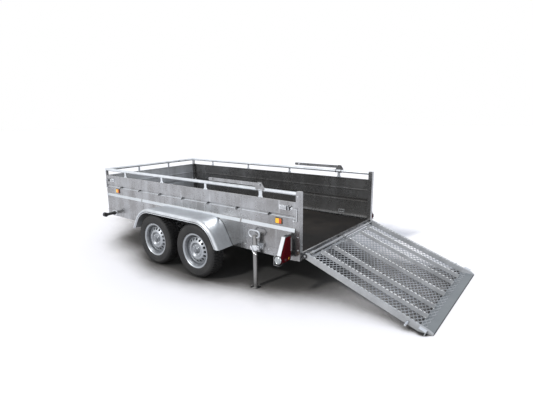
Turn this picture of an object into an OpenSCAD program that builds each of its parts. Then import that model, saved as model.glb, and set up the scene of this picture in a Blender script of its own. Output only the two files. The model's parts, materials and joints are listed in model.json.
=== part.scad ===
// Twin-axle galvanised box trailer with a let-down loading ramp.
// Millimetres. X runs forward to the coupling, Y to the left side, Z up.
// The origin is on the ground under the middle of the whole trailer.

/* [Body] */
// length of the load body, from the rear posts to the front board
body_length = 3090; // [2800:5:3300]
// distance between the outer faces of the two sides
body_width = 1554; // [1480:2:1640]
// height of the underside of the side rails above the ground
rail_bottom = 337; // [330:1:345]
// height of the side rails of the chassis
rail_height = 80; // [70:1:90]
// top of the folded side sheets above the ground
side_top = 871; // [840:1:900]
// thickness of the folded side sheets
sheet = 2; // [1.5:0.5:3]
// centre height of the tubular top rail above the ground
top_rail_height = 945; // [930:1:960]
// diameter of the tubular top rail
top_rail_d = 34; // [30:1:40]

/* [Running gear] */
// where the rear axle is, forward of the rear posts
rear_axle = 1112; // [1090:1:1140]
// distance between the two axles
axle_spacing = 652; // [630:1:680]
// height of the wheel hubs, with the tyres standing on the ground
hub_height = 282; // [280:1:290]
// width of a tyre
tyre_width = 165; // [150:1:175]
// diameter of the rim flange
rim_d = 364; // [350:1:370]
// distance from the middle of the trailer to the middle of a tyre
half_track = 946; // [935:1:955]
// number of round vent holes in a wheel disc
vent_holes = 16; // [12:1:18]
// outer edge of the mudguards, from the middle of the trailer
mudguard_edge = 1050; // [1045:1:1070]

/* [Loading ramp] */
// slope of the lowered ramp, in degrees
ramp_slope = 19.39; // [19:0.01:20]
// length of the ramp along its slope
ramp_length = 1191; // [1180:1:1210]
// distance between the outer faces of the ramp's side beams
ramp_width = 1446; // [1430:2:1450]
// height of the ramp's side beams
ramp_beam = 50; // [45:1:55]
// from the middle of the ramp to its two inner tread bars
inner_bar = 305; // [280:5:330]
// from the middle of the ramp to its two outer tread bars
outer_bar = 506; // [480:2:540]
// distance from one notch of a tread bar to the next
notch_pitch = 37; // [35:1:45]

/* [Drawbar] */
// from the rear posts to the front of the coupling head
coupling_reach = 4330; // [4200:10:4500]
// height of the drawbar's coupling above the ground
coupling_height = 420; // [400:5:440]

/* [Hidden] */
w = body_width / 2;
bl = body_length;
rail_top = rail_bottom + rail_height;
post = 45;
front_axle = rear_axle + axle_spacing;
mid_axle = rear_axle + axle_spacing / 2;
floor_top = 403;
floor_t = 15;
tyre_r = hub_height;
rib_low = 603;
rib_high = 636;
groove_z = 737;
rail_y = w - top_rail_d / 2;
upright_x = [444, 1180, 1905, 2635];
hook_x = [335, 736, 1139, 1542, 1945, 2337, 2730];
hinge_x = -21.7;
hinge_z = 382;
half_beam = ramp_beam / 2;
ramp_start = -8;
ramp_end = ramp_start + ramp_length;
half_ramp = ramp_width / 2;
beam_t = 25;
bar_h = 40;
bar_t = 8;
mesh_low = half_beam - bar_h - 3;
tip_low = (ramp_end * sin(ramp_slope) - hinge_z) / cos(ramp_slope);
tip_x = hinge_x - ramp_end * cos(ramp_slope) - (tip_low + 6) * sin(ramp_slope);
shift = -(coupling_reach + tip_x) / 2;
jockey_x = 3880;
jockey_y = -150;
stand_x = 470;
stand_y = w + 53;
stay_x = 444;
stay_z = 993;
pin_s = 988;
pin_o = 0;
stay_reach = norm([stay_x - hinge_x - pin_o, hinge_z + pin_s - stay_z]);
galvanised = [0.66, 0.67, 0.68];
bright_zinc = [0.80, 0.82, 0.84];
black_rubber = [0.06, 0.06, 0.06];
black_plastic = [0.08, 0.08, 0.09];
wheel_silver = [0.72, 0.73, 0.74];
dark_board = [0.16, 0.13, 0.11];
lamp_red = [0.55, 0.05, 0.07];
amber = [0.85, 0.45, 0.08];
clear_white = [0.85, 0.87, 0.88];

// puts a piece drawn from the rear posts into the shared frame
module place() {
  translate([shift, 0, 0]) children();
}

// draws a piece on the left side and its mirror image on the right
module both_sides() {
  children();
  mirror([0, 1, 0]) children();
}

// the same piece on one side: 1 is the left side, -1 the right
module on_side(side) {
  if (side > 0) children();
  else mirror([0, 1, 0]) children();
}

// a box given by its two corners
module block(a, b) {
  translate(a) cube([b[0] - a[0], b[1] - a[1], b[2] - a[2]]);
}

// a round bar along Y from y1 to y2
module bar_y(x, z, d, y1, y2) {
  translate([x, y2, z]) rotate([90, 0, 0]) cylinder(d = d, h = y2 - y1, $fn = 48);
}

// a round bar along X
module bar_x(x1, x2, y, z, d) {
  translate([x1, y, z]) rotate([0, 90, 0]) cylinder(d = d, h = x2 - x1, $fn = 48);
}

// folded side sheet: flat, pressed-out rib, pressed-in groove and a hemmed top edge
fold_z = [rail_top, rib_low - 5, rib_low, rib_high, rib_high + 5, groove_z - 11,
          groove_z - 6, groove_z + 6, groove_z + 11, side_top];
fold_y = [0, 0, 14, 4, 0, 0, -6, -6, 0, 0];

module sheet_profile() {
  outer = [for (i = [0:len(fold_z) - 1]) [fold_y[i], fold_z[i]]];
  inner = [for (i = [len(fold_z) - 1:-1:0]) [fold_y[i] - sheet, fold_z[i]]];
  polygon(concat(outer, inner));
  // hem folded back inside the top edge
  translate([-14, side_top - sheet]) square([14, sheet]);
  translate([-14, side_top - 12]) square([sheet, 12]);
}

module side_panel() {
  color(galvanised)
    translate([post, w, 0])
      rotate([90, 0, 90])
        linear_extrude(height = bl - 30 - post) sheet_profile();
}

module front_board() {
  color(galvanised) place()
    translate([bl, w - 30, 0])
      rotate([90, 0, 0])
        linear_extrude(height = 2 * w - 60) sheet_profile();
}

module floor_board() {
  color(dark_board) place()
    block([30, -w + 45, floor_top - floor_t], [bl - 32, w - 45, floor_top]);
}

module rear_posts() {
  color(galvanised) place() both_sides()
    difference() {
      block([0, w - post, rail_bottom + 3.5], [post, w, 967]);
      block([3, w - post + 3, rail_bottom], [post - 3, w - 3, 964]);
    }
}

module front_posts() {
  color(galvanised) place() both_sides()
    translate([0, 0, rail_top])
      linear_extrude(height = top_rail_height - top_rail_d / 2 - rail_top)
        union() {
          translate([bl - 30, w - 30]) square([18, 30]);
          translate([bl - 30, w - 30]) square([30, 18]);
          translate([bl - 12, w - 12]) circle(r = 12, $fn = 48);
        }
}

// side rail: a channel that opens inwards
module side_rail() {
  difference() {
    block([post, w - 45, rail_bottom], [bl, w, rail_top]);
    block([post - 1, w - 46, rail_bottom + 4], [bl + 1, w - 4, rail_top - 4]);
  }
}

module cross_member(x) {
  difference() {
    block([x, -w + 45, rail_bottom], [x + 50, w - 45, floor_top - floor_t]);
    block([x + 4, -w + 44, rail_bottom - 1], [x + 46, w - 44, floor_top - floor_t - 4]);
  }
}

module side_rails() color(galvanised) place() both_sides() side_rail();

module cross_members() {
  color(galvanised) place() {
    for (x = [420, 860, 1400, 1950, 2450]) cross_member(x);
    block([bl - 30, -w + 45, rail_bottom], [bl, w - 45, rail_top]);
  }
}

module rear_sill() {
  color(galvanised) place() {
    block([12, -w + post, rail_bottom + 4], [29, w - post, floor_top]);
    // ears that carry the ramp's hinge
    for (y = [-640, 0, 640])
      difference() {
        union() {
          bar_y(hinge_x, hinge_z, 34, y - 6, y + 6);
          block([hinge_x, y - 6, 366], [12, y + 6, 394]);
        }
        bar_y(hinge_x, hinge_z, 20.2, y - 8, y + 8);
      }
  }
}

module drawbar() {
  color(galvanised) place()
    translate([0, 0, rail_bottom - 60])
      linear_extrude(height = 60) both_sides()
        polygon([[1975, 590], [1975, 530], [3800, -1], [4000, -1], [4000, 42]]);
}

// runs a flat shape drawn in X and Z out to half its width on both sides
module plate_xz(half) {
  translate([0, half, 0]) rotate([90, 0, 0]) linear_extrude(height = 2 * half) children();
}

module overrun_unit() {
  color(galvanised) place() {
    plate_xz(45)
      polygon([[3740, rail_bottom], [4110, rail_bottom], [4110, rail_bottom + 118],
               [3850, rail_bottom + 118], [3740, rail_bottom + 45]]);
    bar_x(4109, 4216, 0, coupling_height, 50);
    // handbrake lever with its grip and pivot
    bar_y(3850, coupling_height, 44, 44, 60);
    translate([3850, 45, coupling_height]) rotate([0, -62, 0]) {
      block([0, 0, -10], [300, 10, 10]);
      translate([215, 5, 0]) rotate([0, 90, 0]) cylinder(d = 28, h = 125, $fn = 48);
    }
  }
}

// rubber bellows over the sliding shaft
module shaft_gaiter() {
  color(black_rubber) place()
    translate([4111, 0, coupling_height]) rotate([0, 90, 0])
      rotate_extrude($fn = 64)
        polygon(concat([[25.4, 0]],
          [for (i = [0:12]) [i % 2 == 0 ? 34 : 44, i * 8]],
          [[25.4, 96]]));
}

module coupling_head() {
  ball_x = coupling_reach - 45;
  color(galvanised) place()
    difference() {
      union() {
        bar_x(4216, 4262, 0, coupling_height, 62);
        plate_xz(30)
          polygon([[4236, coupling_height - 26], [4290, coupling_height - 34],
                   [4290, coupling_height + 34], [4236, coupling_height + 26]]);
        translate([ball_x, 0, coupling_height - 35]) cylinder(d = 90, h = 55, $fn = 64);
        translate([ball_x, 0, coupling_height + 19.9]) cylinder(d1 = 90, d2 = 52, h = 22, $fn = 64);
        // lifting handle
        plate_xz(11)
          polygon([[4168, coupling_height + 56], [4262, coupling_height + 52],
                   [4300, coupling_height + 38], [4262, coupling_height + 30],
                   [4244, coupling_height + 42], [4168, coupling_height + 47]]);
      }
      translate([ball_x, 0, coupling_height - 10]) sphere(d = 52, $fn = 64);
      translate([ball_x, 0, coupling_height - 40]) cylinder(d = 50, h = 30, $fn = 64);
    }
}

module jockey_tube() {
  color(bright_zinc) place() {
    translate([jockey_x, jockey_y, 300]) cylinder(d = 48, h = 420, $fn = 48);
    translate([jockey_x, jockey_y, 178]) cylinder(d = 40, h = 123, $fn = 48);
    // clamp on the drawbar
    translate([jockey_x, jockey_y, rail_bottom - 40]) cylinder(d = 64, h = 50, $fn = 48);
    block([jockey_x - 25, jockey_y, rail_bottom - 40], [jockey_x + 25, -83, rail_bottom + 10]);
    // fork and spindle of the small wheel
    block([jockey_x - 22, jockey_y - 34, 172], [jockey_x + 22, jockey_y + 34, 180]);
    for (y = [jockey_y - 34, jockey_y + 29]) {
      block([jockey_x - 15, y, 80], [jockey_x + 15, y + 5, 173]);
      bar_y(jockey_x, 80, 30, y, y + 5);
    }
    bar_y(jockey_x, 80, 16, jockey_y - 38, jockey_y + 38);
    // winding handle
    translate([jockey_x, jockey_y, 719]) cylinder(d = 16, h = 22, $fn = 32);
    block([jockey_x - 8, jockey_y - 120, 730], [jockey_x + 8, jockey_y, 738]);
    translate([jockey_x, jockey_y - 112, 737]) cylinder(d = 18, h = 60, $fn = 32);
  }
}

module jockey_wheel() {
  color(black_rubber) place()
    translate([jockey_x, jockey_y, 80]) rotate([90, 0, 0])
      rotate_extrude($fn = 64)
        polygon([[8.1, -26], [20, -26], [20, -10], [50, -10], [54, -25], [68, -25], [80, -14],
                 [80, 14], [68, 25], [54, 25], [50, 10], [20, 10], [20, 26], [8.1, 26]]);
}

module axle(x) {
  color(galvanised) place() {
    block([x + 120, -w + 12, rail_bottom - 60], [x + 180, w - 12, rail_bottom]);
    both_sides() {
      block([x - 22, w - 13, hub_height - 24], [x + 180, w + 12, hub_height + 24]);
      bar_y(x, hub_height, 60, w + 11, half_track - 74);
      bar_y(x, hub_height, 236, half_track - 75, half_track - 26);
      bar_y(x, hub_height, 40, half_track - 27, half_track + 34);
    }
  }
}

module axle_rear() axle(rear_axle);
module axle_front() axle(front_axle);

// tandem mudguard: flat top, wide round shoulders, flared from the body out to its edge;
// f is 0 at the body and 1 at the outer edge, grow thickens it all round, down lengthens its ends
guard_bends = 14;

guard_rise = 61;

function guard_half(f, grow, down) = let(
    start = -345 - 27 * f,
    r = 215 + 85 * f + grow,
    cz = 405 - 78 * f,
    end_z = 335 + 33 * f - down,
    last = [start - r * sin(guard_rise), cz + r * cos(guard_rise)]
  ) concat([[last[0] - (last[1] - end_z) / tan(guard_rise), end_z]],
    [for (i = [0:guard_bends])
      let(a = 90 + guard_rise * (1 - i / guard_bends)) [start + r * cos(a), cz + r * sin(a)]]);

function guard_outline(f, grow, down) = let(rear = guard_half(f, grow, down))
  concat(rear, [for (i = [len(rear) - 1:-1:0]) [-rear[i][0], rear[i][1]]]);

// a slice of the mudguard at y
module guard_slice(y, grow, down, t) {
  translate([mid_axle, y + t, 0])
    rotate([90, 0, 0])
      linear_extrude(height = t)
        polygon(guard_outline((y - w) / (mudguard_edge - w), grow, down));
}

module guard_body(grow, down, y1, y2) {
  hull() {
    guard_slice(y1, grow, down, 0.5);
    guard_slice(y2 - 30, grow, down, 0.5);
    guard_slice(y2 - 12, grow - 3, down, 0.5);
    guard_slice(y2 - 4, grow - 9, down, 0.5);
    guard_slice(y2 - 0.5, grow - 16, down, 0.5);
  }
}

// a bead pressed out of the mudguard's edge
module guard_bead(high, low) {
  difference() {
    guard_slice(mudguard_edge - 2, high, 0, 5);
    guard_slice(mudguard_edge - 3, low, 60, 7);
  }
}

module mudguard() {
  color(galvanised) difference() {
    union() {
      difference() {
        guard_body(0, 0, w, mudguard_edge);
        guard_body(-2.5, 60, w - 1, mudguard_edge - 2.5);
      }
      guard_bead(-17, -24);
      guard_bead(-38, -45);
    }
    // the side is open below the edge
    guard_slice(mudguard_edge - 20, -46, 60, 40);
    // the edge on the body is cut to sit over the rib of the side sheet
    translate([mid_axle - 700, 0, 0]) rotate([90, 0, 90])
      linear_extrude(height = 1400)
        polygon([[w - 1, rib_low - 5.6], [w, rib_low - 5.6], [w + 14.5, rib_low - 0.5],
                 [w + 14.5, rib_low + 0.5], [w + 4.5, rib_high + 0.5], [w - 1, rib_high + 10]]);
  }
}

module mudguard_left() place() on_side(1) mudguard();
module mudguard_right() place() on_side(-1) mudguard();

// upright between a side sheet and the rail, wider at its foot
module upright(x) {
  half = x == stay_x ? 18 : 13;
  translate([x, w - 5, 0]) rotate([90, 0, 0])
    linear_extrude(height = 7)
      polygon([[-26, side_top], [26, side_top], [26, side_top + 5], [half, side_top + 20],
               [half, top_rail_height], [-half, top_rail_height], [-half, side_top + 20],
               [-26, side_top + 5]]);
}

module top_rail() {
  color(galvanised) {
    difference() {
      bar_x(post, bl - top_rail_d / 2, rail_y, top_rail_height, top_rail_d);
      bar_y(bl - top_rail_d / 2, top_rail_height, top_rail_d, rail_y - 50, rail_y + 50);
    }
    for (x = upright_x) upright(x);
  }
}

module top_rail_left() place() on_side(1) top_rail();
module top_rail_right() place() on_side(-1) top_rail();

module top_rail_front() {
  color(galvanised) place() {
    bar_y(bl - top_rail_d / 2, top_rail_height, top_rail_d, -w, w);
    for (y = [-260, 260])
      block([bl - 12, y - 14, side_top], [bl - 5, y + 14, top_rail_height]);
  }
}

module stay_bracket() {
  difference() {
    union() {
      translate([stay_x, rail_y + 23, stay_z]) rotate([90, 0, 0])
        linear_extrude(height = 5)
          polygon([[-50, -45], [50, -45], [50, -20], [20, 22], [-20, 22], [-50, -20]]);
      for (x = [stay_x - 40, stay_x + 30])
        bar_x(x, x + 10, rail_y, top_rail_height, 42);
    }
    bar_x(stay_x - 60, stay_x + 60, rail_y, top_rail_height, top_rail_d);
    bar_y(stay_x, stay_z, 12.1, rail_y, rail_y + 60);
  }
  bar_y(stay_x, stay_z, 12, rail_y + 18, rail_y + 36);
}

module stay_brackets() color(galvanised) place() both_sides() stay_bracket();

module stay_bar() {
  color(galvanised) translate([stay_x, 0, stay_z])
    difference() {
      union() {
        block([0, rail_y + 24, -16], [stay_reach + 46, rail_y + 30, 16]);
        bar_y(0, 0, 32, rail_y + 24, rail_y + 30);
        bar_y(stay_reach + 46, 0, 32, rail_y + 24, rail_y + 30);
      }
      bar_y(0, 0, 12.1, rail_y, rail_y + 60);
      bar_y(stay_reach, 0, 17, rail_y, rail_y + 60);
    }
}

module stay_bar_left() place() on_side(1) stay_bar();
module stay_bar_right() place() on_side(-1) stay_bar();

// tail lamp: a trapezium, wide at the bottom, seen from behind
lamp_low = 358;
lamp_high = 577;
lamp_in = 817;
lamp_out = 973;
lamp_x = 63;

module lamp_outline(grow) {
  polygon([[lamp_in + 6 - grow, lamp_low - grow], [lamp_out + grow, lamp_low - grow],
           [lamp_out + grow, lamp_low + 28], [lamp_in + 66 + grow, lamp_high + grow],
           [lamp_in - grow, lamp_high + grow]]);
}

module lamp_slab(x1, x2, grow) {
  translate([x1, 0, 0]) rotate([90, 0, 90]) linear_extrude(height = x2 - x1) lamp_outline(grow);
}

module lamp_housings() {
  color(black_plastic) place() both_sides() lamp_slab(lamp_x + 14, lamp_x + 50, 0);
}

// the lens is stepped: a raised field inside a narrow border
module lamp_lenses() {
  color(lamp_red) place() both_sides() {
    lamp_slab(lamp_x + 6, lamp_x + 14, -2);
    lamp_slab(lamp_x, lamp_x + 6.1, -7);
  }
}

// a bolt head that faces along Y
module bolt_y(x, z, d, y1, y2) {
  translate([x, y2, z]) rotate([90, 0, 0]) cylinder(d = d, h = y2 - y1, $fn = 6);
}

module lamp_brackets() {
  color(galvanised) place() both_sides() {
    // back plate, cut away where the outline marker sits
    difference() {
      lamp_slab(lamp_x + 50, lamp_x + 54, 4);
      block([lamp_x + 49, lamp_out - 0.1, lamp_low + 4], [lamp_x + 55, lamp_out + 9, lamp_low + 65]);
    }
    // guard bent round the sloping side of the lamp
    translate([lamp_x + 14, 0, 0]) rotate([90, 0, 90])
      linear_extrude(height = 40)
        polygon([[lamp_out - 16.4, lamp_low + 66], [lamp_out - 13.5, lamp_low + 66],
                 [lamp_in + 70, lamp_high + 4], [lamp_in + 52, lamp_high + 4],
                 [lamp_in + 52, lamp_high + 0.6], [lamp_in + 67, lamp_high + 0.6]]);
    // arms to the side sheet and the rail
    block([lamp_x + 50, w, 536], [lamp_x + 54, lamp_in + 4, 572]);
    block([lamp_x + 50, w, lamp_low - 4], [lamp_x + 54, lamp_in + 10, lamp_low + 52]);
    // wing that shields the outline marker
    block([lamp_x + 50, lamp_out - 20, lamp_low - 10], [lamp_x + 63, lamp_out, lamp_low + 66]);
    block([lamp_x + 59, lamp_out - 1, lamp_low - 10], [lamp_x + 63, lamp_out + 22, lamp_low + 66]);
    block([lamp_x + 4, lamp_out - 30, lamp_low - 10], [lamp_x + 63, lamp_out + 22, lamp_low - 7]);
    // tabs and bolts on the side sheet
    block([lamp_x + 50, w, 536], [lamp_x + 90, w + 3, 572]);
    bolt_y(lamp_x + 74, 554, 15, w + 2.9, w + 10);
    for (y = [794, 806])
      translate([lamp_x + 44, y, 562 - (y - 794)]) rotate([0, 90, 0]) cylinder(d = 9, h = 7, $fn = 6);
  }
}

module lamp_markers() {
  color(clear_white) place() both_sides() {
    bar_y(lamp_x + 28, lamp_low + 34, 60, lamp_out + 0.1, lamp_out + 12);
    bar_y(lamp_x + 28, lamp_low + 34, 48, lamp_out + 11.9, lamp_out + 17);
  }
}

// front outline markers on rubber arms, at the lower front corners
module front_marker_plates() {
  color(bright_zinc) place() both_sides() {
    block([2890, w, rail_bottom + 10], [2985, w + 4, rail_bottom + 72]);
    bolt_y(2905, rail_bottom + 58, 15, w + 3.9, w + 11);
    bolt_y(2970, rail_bottom + 58, 15, w + 3.9, w + 11);
  }
}

module front_marker_arms() {
  color(black_rubber) place() both_sides() {
    bar_y(2940, rail_bottom + 38, 36, w + 4.1, w + 118);
    bar_y(2940, rail_bottom + 38, 50, w + 4.1, w + 16);
    translate([2920, w + 138, rail_bottom + 40]) rotate([0, 90, 0]) cylinder(d = 56, h = 40, $fn = 48);
    block([2924, w + 96, rail_bottom + 22], [2956, w + 138, rail_bottom + 54]);
  }
}

module reflector_frames() {
  color(black_plastic) place() both_sides()
    for (x = [227, 2820])
      difference() {
        block([x - 38, w, 655], [x + 38, w + 6, 711]);
        block([x - 33, w + 2, 660], [x + 33, w + 9, 706]);
      }
}

module side_reflectors() {
  color(amber) place() both_sides()
    for (x = [227, 2820])
      block([x - 32.5, w + 2.1, 660.5], [x + 32.5, w + 9, 705.5]);
}

// a tarpaulin hook: a foot in the groove and a hook that curls downwards
module tarp_hook(x) {
  block([x - 9, w - 6, groove_z - 5.5], [x + 9, w - 2, groove_z + 5.5]);
  translate([x - 6, 0, 0]) rotate([90, 0, 90])
    linear_extrude(height = 12)
      union() {
        translate([w - 6, groove_z - 1]) square([15, 6]);
        difference() {
          translate([w + 9, groove_z - 6]) circle(r = 11, $fn = 48);
          translate([w + 9, groove_z - 6]) circle(r = 5.5, $fn = 48);
          translate([w - 3, groove_z - 20]) square([12, 14]);
        }
      }
}

module tarp_hooks() {
  color(black_plastic) place() both_sides()
    for (x = hook_x) tarp_hook(x);
}

// toggle latch: a plate with a lever, and a wire loop that reaches over to the post
module side_latch() {
  block([0, w, 795], [124, w + 3, 835]);
  difference() {
    block([14, w + 2.9, 803], [110, w + 16, 827]);
    block([8, w + 2, 806], [84, w + 12, 824]);
  }
  bar_y(10, 815, 16, w + 2.9, w + 19);
  block([-22, w, 804], [1, w + 5, 826]);
  bar_y(-12, 815, 13, w + 4.9, w + 14);
  bar_x(-66, -10, w + 8, 815, 6);
  translate([-66, w + 8, 702]) cylinder(d = 6, h = 116, $fn = 32);
  bar_x(-66, -34, w + 8, 705, 6);
  block([-42, w, 698], [-30, w + 12, 712]);
}

module side_latches() {
  color(bright_zinc) place() both_sides() {
    translate([98, 0, 0]) side_latch();
    translate([bl - 80, 0, 0]) mirror([1, 0, 0]) side_latch();
  }
}

module lashing_rings() {
  color(bright_zinc) place() both_sides()
    for (x = [400, 1500, 2600])
      difference() {
        block([x - 42, w - 10, 434], [x + 42, w - 2, 470]);
        block([x - 34, w - 12, 442], [x + 34, w, 462]);
      }
}

// the clamp on the side rail that a prop stand slides through
module stand_clamp() {
  difference() {
    union() {
      block([stand_x - 62, w, 372], [stand_x + 50, w + 7, 434]);
      translate([stand_x, stand_y, 374]) cylinder(d = 66, h = 52, $fn = 64);
      block([stand_x - 20, w + 6, 374], [stand_x + 20, stand_y, 426]);
      // split lug of the collar with its bolt
      block([stand_x - 52, stand_y - 12, 382], [stand_x - 20, stand_y + 10, 420]);
      block([stand_x + 20, stand_y - 12, 378], [stand_x + 54, stand_y + 10, 406]);
    }
    translate([stand_x, stand_y, 350]) cylinder(d = 48.1, h = 100, $fn = 64);
    block([stand_x - 60, stand_y - 1.5, 380], [stand_x - 10, stand_y + 1.5, 422]);
  }
  bolt_y(stand_x - 40, 401, 20, stand_y + 9.9, stand_y + 22);
  bolt_y(stand_x + 40, 416, 17, w + 6.9, w + 15);
  bolt_y(stand_x - 54, 424, 17, w + 6.9, w + 15);
  // bent lever that tightens the collar
  bar_y(stand_x + 4, 394, 22, stand_y + 30, stand_y + 46);
  lever_part(stand_x + 4, 392, 201.8, 32.3, 9);
  translate([stand_x - 8, lever_y, 362]) sphere(d = 9.4, $fn = 32);
  lever_part(stand_x - 8, 362, 247, 43.5, 9);
}

// a length of the clamp's lever, turned in the plane beside the stand
lever_y = stand_y + 42;
module lever_part(x, z, turn, length, d) {
  translate([x, lever_y, z]) rotate([0, turn, 0]) cylinder(d = d, h = length, $fn = 32);
}

module stand_clamps() color(galvanised) place() both_sides() stand_clamp();

module lever_tips() {
  color(black_rubber) place() both_sides()
    lever_part(stand_x - 48.13, 344.97, 247, 15, 13);
}

module prop_stand() {
  color(bright_zinc) {
    translate([stand_x, stand_y, 8]) cylinder(d = 48, h = 500, $fn = 64);
    translate([stand_x, stand_y, 507.9]) cylinder(d1 = 48, d2 = 26, h = 10, $fn = 64);
    // shallow domed foot
    intersection() {
      translate([stand_x, stand_y, -82.3]) sphere(r = 96.3, $fn = 96);
      translate([stand_x, stand_y, 0]) cylinder(d = 100, h = 20, $fn = 96);
    }
    // ring handle on the top of the tube
    translate([stand_x + 8, stand_y, 528]) rotate([90, 0, 0])
      difference() {
        union() {
          translate([-32, 0, -5]) cylinder(d = 74, h = 10, $fn = 48);
          translate([32, 0, -5]) cylinder(d = 74, h = 10, $fn = 48);
          translate([-32, -37, -5]) cube([64, 74, 10]);
        }
        translate([-32, 0, -6]) cylinder(d = 54, h = 12, $fn = 48);
        translate([32, 0, -6]) cylinder(d = 54, h = 12, $fn = 48);
        translate([-32, -27, -6]) cube([64, 54, 12]);
      }
  }
}

module prop_stand_left() place() on_side(1) prop_stand();
module prop_stand_right() place() on_side(-1) prop_stand();

// tyre cross-section, from bead to bead, with four grooves in the tread
module tyre() {
  h = tyre_width / 2;
  r = tyre_r;
  color(black_rubber) rotate_extrude($fn = 64)
    polygon([[166, -h + 22], [178.4, -h + 21.7], [182.8, -h + 16.4], [182.8, -h + 12],
             [200, -h + 4], [232, -h], [256, -h + 2], [r - 7, -h + 14], [r, -h + 26],
             [r, -31], [r - 7, -29], [r - 7, -23], [r, -21],
             [r, -5], [r - 7, -4], [r - 7, 4], [r, 5],
             [r, 21], [r - 7, 23], [r - 7, 29], [r, 31],
             [r, h - 26], [r - 7, h - 14], [256, h - 2], [232, h],
             [200, h - 4], [182.8, h - 12], [182.8, h - 16.4], [178.4, h - 21.7], [166, h - 22]]);
}

// steel rim: barrel with flanges, a dished disc with vent and bolt holes, and its hub
module rim() {
  color(wheel_silver) difference() {
    rotate_extrude($fn = 96)
      polygon([[20.05, -20], [36, -20], [36, 28], [62, 28], [84, 43], [92, 42], [134, 15], [141, 12],
               [142, 8], [146, -20], [150, -58], [163, -64], [176, -64.5], [182, -70], [182, -66],
               [178, -61], [165.5, -60.5], [165.5, -22], [150, -8], [150, 16], [165.5, 30],
               [165.5, 60.5], [178, 61], [182, 66], [182, 70], [176, 64.5], [163, 64],
               [155, 58], [147, 48], [145, 26], [138, 22], [94, 50], [84, 52], [76, 50], [60, 36],
               [34, 36], [33, 46], [26, 51], [0, 51], [0, 36], [20.05, 36]]);
    for (i = [0:vent_holes - 1])
      rotate([0, 0, i * 360 / vent_holes]) translate([114, 0, 4]) cylinder(d = 26, h = 56, $fn = 32);
    for (i = [0:3])
      rotate([0, 0, i * 90 + 45]) translate([49, 0, 20]) cylinder(d = 14, h = 30, $fn = 32);
  }
}

module at_wheel(x, side) {
  place() translate([x, side * half_track, hub_height]) rotate([-90 * side, 0, 0]) children();
}

module tyre_rear_left() at_wheel(rear_axle, 1) tyre();
module tyre_rear_right() at_wheel(rear_axle, -1) tyre();
module tyre_front_left() at_wheel(front_axle, 1) tyre();
module tyre_front_right() at_wheel(front_axle, -1) tyre();
module rim_rear_left() at_wheel(rear_axle, 1) rim();
module rim_rear_right() at_wheel(rear_axle, -1) rim();
module rim_front_left() at_wheel(front_axle, 1) rim();
module rim_front_right() at_wheel(front_axle, -1) rim();

// the ramp is drawn flat, its hinge on the Y axis, and turned down to its slope
module on_ramp() {
  place() translate([hinge_x, 0, hinge_z]) rotate([0, -ramp_slope, 0]) children();
}

// keeps a ramp piece above the ground it rests on
module above_ground() {
  difference() {
    children();
    rotate([0, ramp_slope, 0])
      translate([-ramp_end - 100, -half_ramp - 200, -hinge_z - 200])
        cube([ramp_end + 200, ramp_width + 400, 200]);
  }
}

// side beam with its inner top edge notched and its lower end sloped off
module ramp_beam_bar() {
  difference() {
    block([-ramp_end, half_ramp - beam_t, -half_beam], [-ramp_start, half_ramp, half_beam]);
    for (i = [0:floor(990 / notch_pitch)])
      block([-72 - i * notch_pitch, half_ramp - beam_t - 1, half_beam - 6],
            [-60 - i * notch_pitch, half_ramp - beam_t + 7, half_beam + 1]);
    translate([-ramp_end + 34, 0, half_beam]) rotate([0, -14, 0])
      block([-80, half_ramp - beam_t - 1, 0], [0, half_ramp + 1, 60]);
  }
}

// hinge knuckle: a round eye with a foot on the cross member
module hinge_knuckle(y) {
  bar_y(0, 0, 30, y - 20, y + 20);
  block([-15, y - 20, -15], [0, y + 20, 12]);
}

module ramp_frame() {
  color(galvanised) on_ramp() above_ground() {
    both_sides() ramp_beam_bar();
    // hinge-side cross member and its knuckles
    block([-40, -half_ramp + beam_t - 1, -half_beam], [-14, half_ramp - beam_t + 1, mesh_low]);
    for (y = [-600, -40, 40, 600])
      difference() {
        hinge_knuckle(y);
        bar_y(0, 0, 20, y - 30, y + 30);
      }
    bar_y(0, 0, 19.8, -half_ramp - 8, half_ramp + 8);
    // pins and lifting lugs near the lower end
    both_sides() {
      translate([-pin_s, half_ramp - 1, pin_o]) rotate([-90, 0, 0]) cylinder(d = 16, h = 70, $fn = 48);
      block([-1136, half_ramp - 1, half_beam - 6], [-1076, half_ramp + 42, half_beam]);
      block([-1136, half_ramp - 1, half_beam - 34], [-1130, half_ramp + 42, half_beam]);
    }
  }
}

module tread_bar() {
  difference() {
    block([-1078, -bar_t / 2, half_beam - bar_h], [-40, bar_t / 2, half_beam]);
    for (i = [0:floor(990 / notch_pitch)])
      block([-72 - i * notch_pitch, -bar_t, half_beam - 8],
            [-60 - i * notch_pitch, bar_t, half_beam + 1]);
  }
}

module ramp_tread_bars() {
  color(galvanised) on_ramp()
    for (y = [-outer_bar, -inner_bar, 0, inner_bar, outer_bar])
      translate([0, y, 0]) tread_bar();
}

module ramp_mesh() {
  color(galvanised) on_ramp()
    translate([0, 0, mesh_low])
      linear_extrude(height = 3)
        difference() {
          translate([-1080, -half_ramp + beam_t]) square([1040, ramp_width - 2 * beam_t]);
          for (i = [0:13])
            for (j = [-7:7])
              translate([-88 - i * 73, j * 90])
                polygon([[-29, 0], [0, -36], [29, 0], [0, 36]]);
        }
}

// plastic bushes at the two ends of the ramp's hinge
module ramp_bushes() {
  color(black_plastic) on_ramp() both_sides()
    difference() {
      bar_y(0, 0, 44, half_ramp + 0.2, half_ramp + 8);
      bar_y(0, 0, 20, half_ramp - 1, half_ramp + 9);
    }
}

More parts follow.
